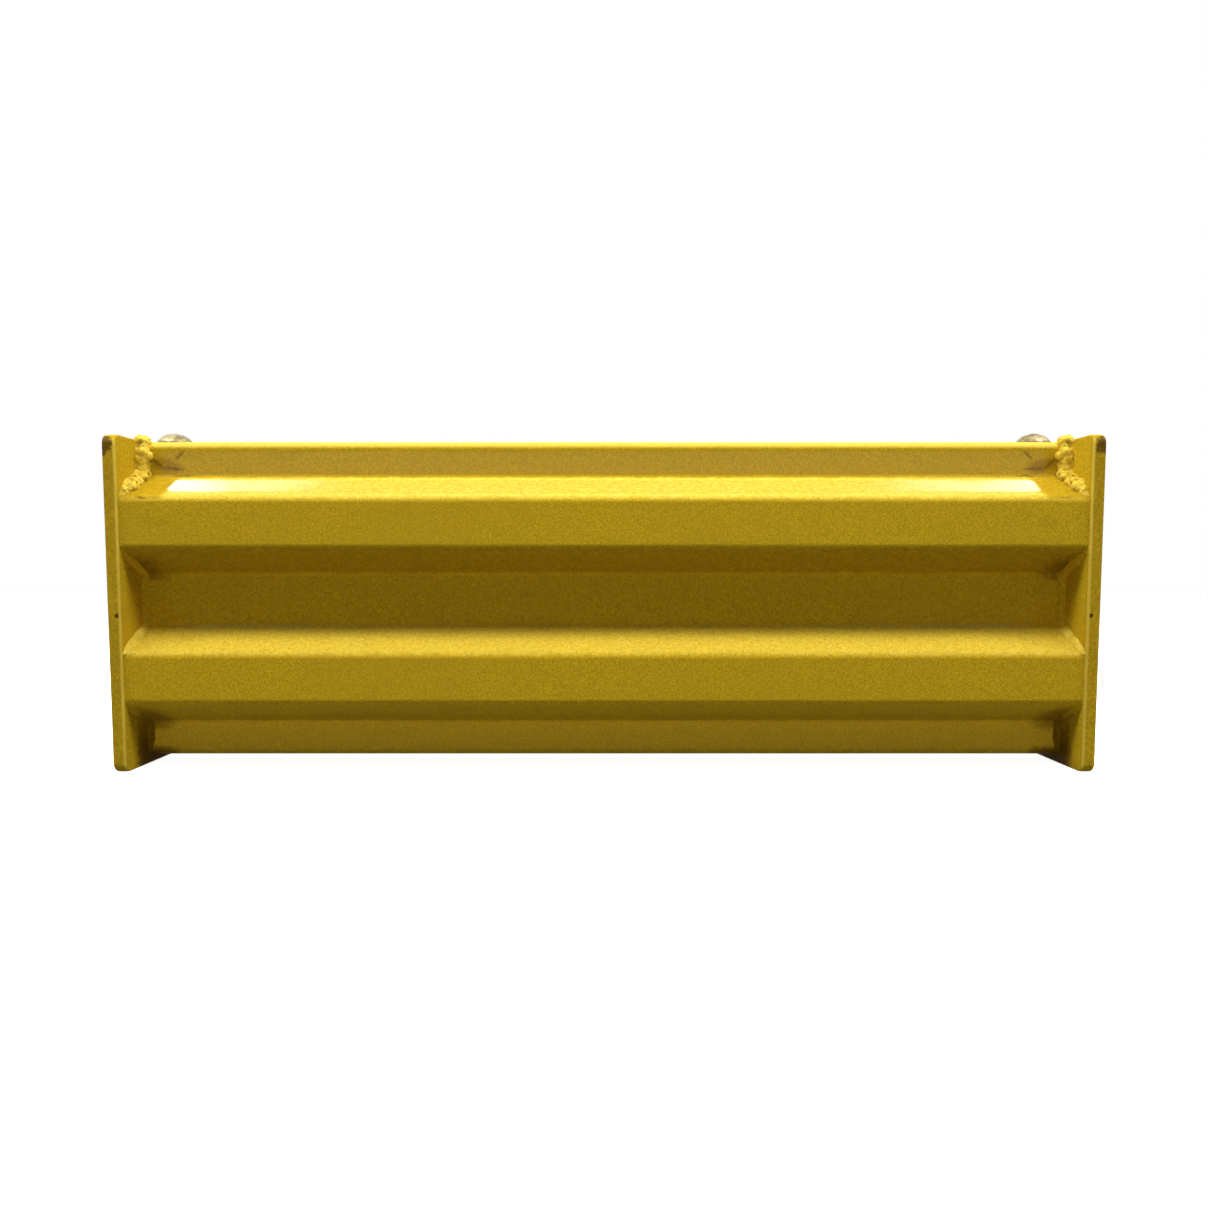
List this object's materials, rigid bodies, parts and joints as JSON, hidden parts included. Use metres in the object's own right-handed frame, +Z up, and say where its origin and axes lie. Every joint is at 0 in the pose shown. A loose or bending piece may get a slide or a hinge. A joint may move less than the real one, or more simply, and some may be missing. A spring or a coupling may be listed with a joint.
{
  "type": "guard rail section",
  "caption": "Short yellow industrial guard rail section: ribbed corrugated steel beam with return lips, welded between flat bolt-on end plates.",
  "frame": {"origin": "bottom centre of the section, on the floor between the two end plates", "axes": "+X along the rail, -Y is the ribbed front, +Z up"},
  "size_m": [0.914, 0.102, 0.3234],
  "materials": {
    "rail_paint": "satin",
    "plate_paint": "satin",
    "weld_paint": "satin",
    "bolt_zinc": "dull"
  },
  "bodies": {
    "root": {"rail_beam": "rail_paint", "left_end_plate": "plate_paint", "right_end_plate": "plate_paint", "left_weld_top_flat": "weld_paint", "left_weld_upper_rib_top": "weld_paint", "left_weld_upper_rib_bottom": "weld_paint", "left_weld_middle_flat": "weld_paint", "left_weld_lower_rib_top": "weld_paint", "left_weld_lower_rib_bottom": "weld_paint", "left_weld_bottom_flat": "weld_paint", "left_back_weld_upper_rib": "weld_paint", "left_back_weld_lower_rib": "weld_paint", "right_weld_top_flat": "weld_paint", "right_weld_upper_rib_top": "weld_paint", "right_weld_upper_rib_bottom": "weld_paint", "right_weld_middle_flat": "weld_paint", "right_weld_lower_rib_top": "weld_paint", "right_weld_lower_rib_bottom": "weld_paint", "right_weld_bottom_flat": "weld_paint", "right_back_weld_upper_rib": "weld_paint", "right_back_weld_lower_rib": "weld_paint", "left_lip_bolt": "bolt_zinc", "left_lip_washer": "bolt_zinc", "left_lip_nut": "bolt_zinc", "right_lip_bolt": "bolt_zinc", "right_lip_washer": "bolt_zinc", "right_lip_nut": "bolt_zinc"}
  },
  "joints": []
}
